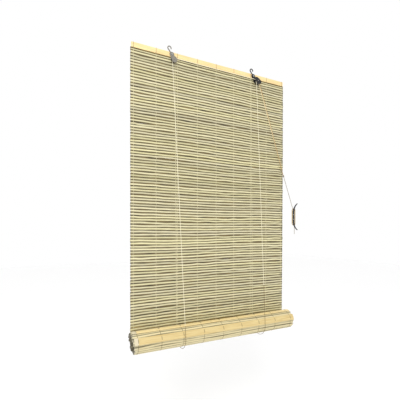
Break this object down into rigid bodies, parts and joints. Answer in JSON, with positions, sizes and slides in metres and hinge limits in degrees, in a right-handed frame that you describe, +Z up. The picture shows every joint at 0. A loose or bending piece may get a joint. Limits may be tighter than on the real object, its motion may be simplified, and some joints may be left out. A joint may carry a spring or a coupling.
{
  "type": "bamboo roll up blind",
  "caption": "Half raised roll up blind of bamboo sticks with a head slat, hook brackets with pulleys, lift cords under the roll and a wall cleat.",
  "frame": {"origin": "middle of the blind's width, in the plane of the mat, at the height of the two hooks' bearing crowns", "axes": "+X along the blind to the right as seen from the room, +Y to the wall, +Z up"},
  "size_m": [0.8981, 0.1078, 1.2841],
  "materials": {
    "head_slat_bamboo": "planed bamboo, satin",
    "stick_bamboo": "raw split bamboo, matt",
    "roll_bamboo": "raw split bamboo, matt",
    "wide_slat_bamboo": "planed bamboo, satin",
    "warp_thread": "twisted cotton thread",
    "cord": "braided cotton cord",
    "steel": "zinc plated steel",
    "gunmetal": "blackened steel",
    "wheel_metal": "pressed steel",
    "cleat_metal": "blackened steel strap"
  },
  "bodies": {
    "head": {"head_slat": "head_slat_bamboo", "hanging_mat": "stick_bamboo", "warp_threads": "warp_thread", "head_loops": "warp_thread", "left_hook_plate": "steel", "right_hook_plate": "gunmetal", "left_pulley_frame": "steel", "right_pulley_frame": "gunmetal", "left_pulley_pin": "steel", "right_pulley_pin": "steel", "left_bracket_bolt": "steel", "right_bracket_bolt": "steel", "left_bracket_nut": "steel", "right_bracket_nut": "steel", "left_cord_back": "cord", "right_cord_back": "cord", "left_cord_front": "cord", "right_cord_front": "cord", "left_cord_anchor": "cord", "right_cord_anchor": "cord", "crossing_cord": "cord", "right_cord_turn": "cord", "pull_strand_back": "cord", "pull_strand_front": "cord", "pull_knot": "cord", "pull_cord": "cord", "cleat": "cleat_metal", "cleat_winding": "cord", "cord_tail": "cord"},
    "cord_slings": {"left_cord_sling": "cord", "right_cord_sling": "cord"},
    "roll": {"rolled_mat": "roll_bamboo", "front_wide_slat": "wide_slat_bamboo", "top_wide_slat": "wide_slat_bamboo"},
    "left_wheel": {"left_wheel": "wheel_metal"},
    "right_wheel_back": {"right_wheel_back": "wheel_metal"},
    "right_wheel_front": {"right_wheel_front": "wheel_metal"}
  },
  "joints": [
    {"name": "roll_lift", "type": "slide", "parent": "head", "child": "cord_slings", "axis": [0, 0, 1], "range_m": [0, 0.7], "deforming": ["hanging_mat", "warp_threads", "left_cord_back", "right_cord_back", "left_cord_front", "right_cord_front"]},
    {"name": "roll_turn", "type": "hinge", "parent": "cord_slings", "child": "roll", "pos_m": [0, -0.0487, -1.229], "axis": [1, 0, 0], "range_deg": [-865, 0]},
    {"name": "left_wheel_spin", "type": "hinge", "parent": "head", "child": "left_wheel", "pos_m": [-0.212, -0.01015, -0.054], "axis": [0, 1, 0], "continuous": true},
    {"name": "right_wheel_back_spin", "type": "hinge", "parent": "head", "child": "right_wheel_back", "pos_m": [0.226, -0.01015, -0.054], "axis": [0, 1, 0], "continuous": true},
    {"name": "right_wheel_front_spin", "type": "hinge", "parent": "head", "child": "right_wheel_front", "pos_m": [0.226, -0.01645, -0.054], "axis": [0, 1, 0], "continuous": true}
  ],
  "couplings": [
    {"joint": "roll_turn", "follows": "roll_lift", "rad_per_m": -21.505},
    {"joint": "left_wheel_spin", "follows": "roll_lift", "rad_per_m": 266.67},
    {"joint": "right_wheel_back_spin", "follows": "roll_lift", "rad_per_m": 266.67},
    {"joint": "right_wheel_front_spin", "follows": "roll_lift", "rad_per_m": 266.67}
  ]
}
